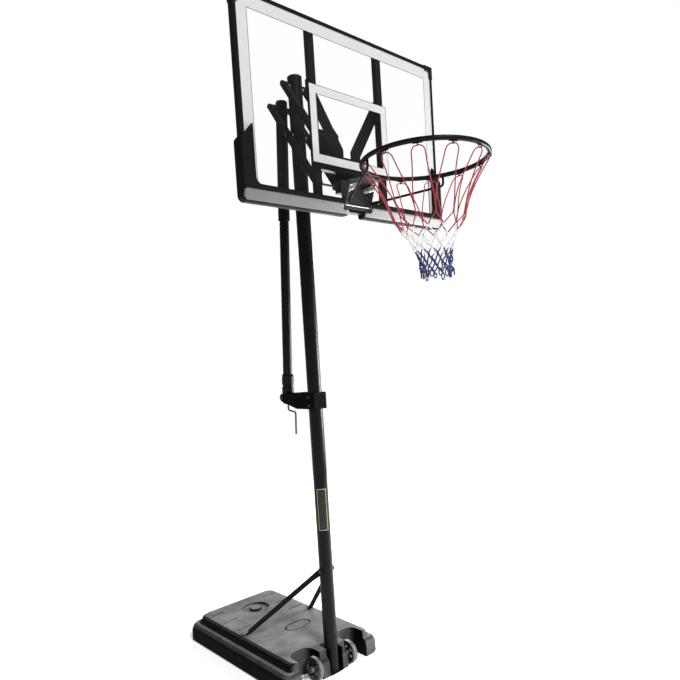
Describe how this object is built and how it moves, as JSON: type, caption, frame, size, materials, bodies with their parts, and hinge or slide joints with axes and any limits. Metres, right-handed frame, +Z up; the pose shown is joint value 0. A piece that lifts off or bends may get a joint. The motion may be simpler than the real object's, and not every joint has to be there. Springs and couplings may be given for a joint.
{
  "type": "basketball stand",
  "caption": "Portable basketball stand: weighted tank base on wheels, round pole, crank jack that lifts the clear framed board on parallel arms, breakaway rim with a knotted net.",
  "frame": {"origin": "on the floor, in the middle of the stand's footprint from the ring's front to the tank's back", "axes": "+Z up, -Y the way the board faces, +X to the right of a player who faces the board"},
  "size_m": [1.148, 1.865, 2.8822],
  "materials": {
    "black_steel": "black powder coat",
    "satin_black_steel": "satin black powder coat",
    "zinc_bolts": "zinc plated",
    "spring_steel": "bright zinc plated",
    "tank_plastic": "blow moulded, finely grained",
    "black_plastic": "moulded",
    "wheel_plastic": "moulded",
    "frame_black": "black aluminium extrusion",
    "clear_acrylic": "clear and polished",
    "pad_foam": "skinned foam",
    "net_cord": "red, white and blue knotted cord"
  },
  "bodies": {
    "base": {"base_tank": "tank_plastic", "pole_bracket": "black_steel", "wheel_axle": "zinc_bolts", "pole_lower": "satin_black_steel", "pole_middle": "satin_black_steel", "pole_upper": "satin_black_steel", "pole_cap": "black_plastic", "strut_left": "black_steel", "strut_right": "black_steel", "strut_bolt": "zinc_bolts", "jack_bracket": "black_steel", "jack_bracket_bolt_upper": "zinc_bolts", "jack_bracket_bolt_lower": "zinc_bolts", "jack_pivot_bolt": "zinc_bolts", "pivot_bolt_upper": "zinc_bolts", "pivot_bolt_lower": "zinc_bolts", "spacer_upper_left": "zinc_bolts", "spacer_upper_right": "zinc_bolts", "spacer_lower_left": "zinc_bolts", "spacer_lower_right": "zinc_bolts"},
    "fill_cap": {"fill_cap": "black_plastic"},
    "wheel_left": {"wheel_left": "wheel_plastic"},
    "wheel_right": {"wheel_right": "wheel_plastic"},
    "lower_arms": {"lower_arm_left": "satin_black_steel", "lower_arm_right": "satin_black_steel", "rear_pin_left": "zinc_bolts", "rear_pin_right": "zinc_bolts"},
    "upper_arms": {"upper_arm_left": "satin_black_steel", "upper_arm_right": "satin_black_steel"},
    "board": {"frame_bottom": "frame_black", "frame_top": "frame_black", "frame_left": "frame_black", "frame_right": "frame_black", "board_panel": "clear_acrylic", "stile_left": "black_steel", "stile_right": "black_steel", "stile_rail": "black_steel", "rim_channel": "black_steel", "board_carrier": "black_steel", "front_pin_upper": "zinc_bolts", "front_pin_lower": "zinc_bolts", "brace_left": "black_steel", "brace_right": "black_steel", "edge_pad_left": "pad_foam", "edge_pad_right": "pad_foam", "corner_cap_left": "black_plastic", "corner_cap_right": "black_plastic", "rim_mount_plate": "black_steel", "rim_hinge_pin": "zinc_bolts", "spring_bolt_left": "zinc_bolts", "spring_bolt_right": "zinc_bolts"},
    "rim": {"rim_bracket": "black_steel", "rim_ring": "black_steel", "spring_left": "spring_steel", "spring_right": "spring_steel", "net": "net_cord"},
    "jack_lower": {"jack_lower_tube": "satin_black_steel"},
    "jack_upper": {"jack_upper_tube": "satin_black_steel"},
    "jack_screw": {"jack_screw": "zinc_bolts"},
    "crank": {"crank": "zinc_bolts"}
  },
  "joints": [
    {"name": "lift", "type": "hinge", "parent": "base", "child": "lower_arms", "pos_m": [0, 0.04226, 2.557], "axis": [-1, 0, 0], "range_deg": [0, 60]},
    {"name": "upper_arm_swing", "type": "hinge", "parent": "base", "child": "upper_arms", "pos_m": [0, 0.04226, 2.777], "axis": [-1, 0, 0], "range_deg": [0, 61]},
    {"name": "board_level", "type": "hinge", "parent": "lower_arms", "child": "board", "pos_m": [0, -0.13899, 2.29328], "axis": [-1, 0, 0], "range_deg": [-61, 0]},
    {"name": "jack_tilt", "type": "hinge", "parent": "base", "child": "jack_lower", "pos_m": [0, 0.25026, 1.345], "axis": [-1, 0, 0], "range_deg": [0, 5]},
    {"name": "jack_slide", "type": "slide", "parent": "jack_lower", "child": "jack_upper", "axis": [0, -0.0713, 0.9975], "range_m": [-0.18, 0]},
    {"name": "screw_turn", "type": "hinge", "parent": "jack_lower", "child": "jack_screw", "pos_m": [0, 0.25026, 1.345], "axis": [0, -0.0713, 0.9975], "continuous": true},
    {"name": "crank_turn", "type": "hinge", "parent": "jack_lower", "child": "crank", "pos_m": [0, 0.25026, 1.345], "axis": [0, -0.0713, 0.9975], "continuous": true},
    {"name": "rim_break", "type": "hinge", "parent": "board", "child": "rim", "pos_m": [0, -0.31904, 2.16], "axis": [1, 0, 0], "range_deg": [0, 15], "stiffness_Nm_per_rad": 60, "springref_deg": -20.05, "deforming": ["spring_left", "spring_right"]},
    {"name": "fill_cap_lift", "type": "slide", "parent": "base", "child": "fill_cap", "axis": [0, 0, 1], "range_m": [0, 0.045]},
    {"name": "wheel_left_spin", "type": "hinge", "parent": "base", "child": "wheel_left", "pos_m": [-0.11, 0.04226, 0.0585], "axis": [1, 0, 0], "continuous": true},
    {"name": "wheel_right_spin", "type": "hinge", "parent": "base", "child": "wheel_right", "pos_m": [0.11, 0.04226, 0.0585], "axis": [1, 0, 0], "continuous": true}
  ],
  "couplings": [
    {"joint": "upper_arm_swing", "follows": "lift", "ratio": 1},
    {"joint": "board_level", "follows": "lift", "ratio": -1},
    {"joint": "jack_tilt", "follows": "lift", "ratio": 0.0669},
    {"joint": "jack_slide", "follows": "lift", "m_per_rad": -0.1643},
    {"joint": "screw_turn", "follows": "lift", "ratio": 86.027},
    {"joint": "crank_turn", "follows": "lift", "ratio": -86.027}
  ]
}
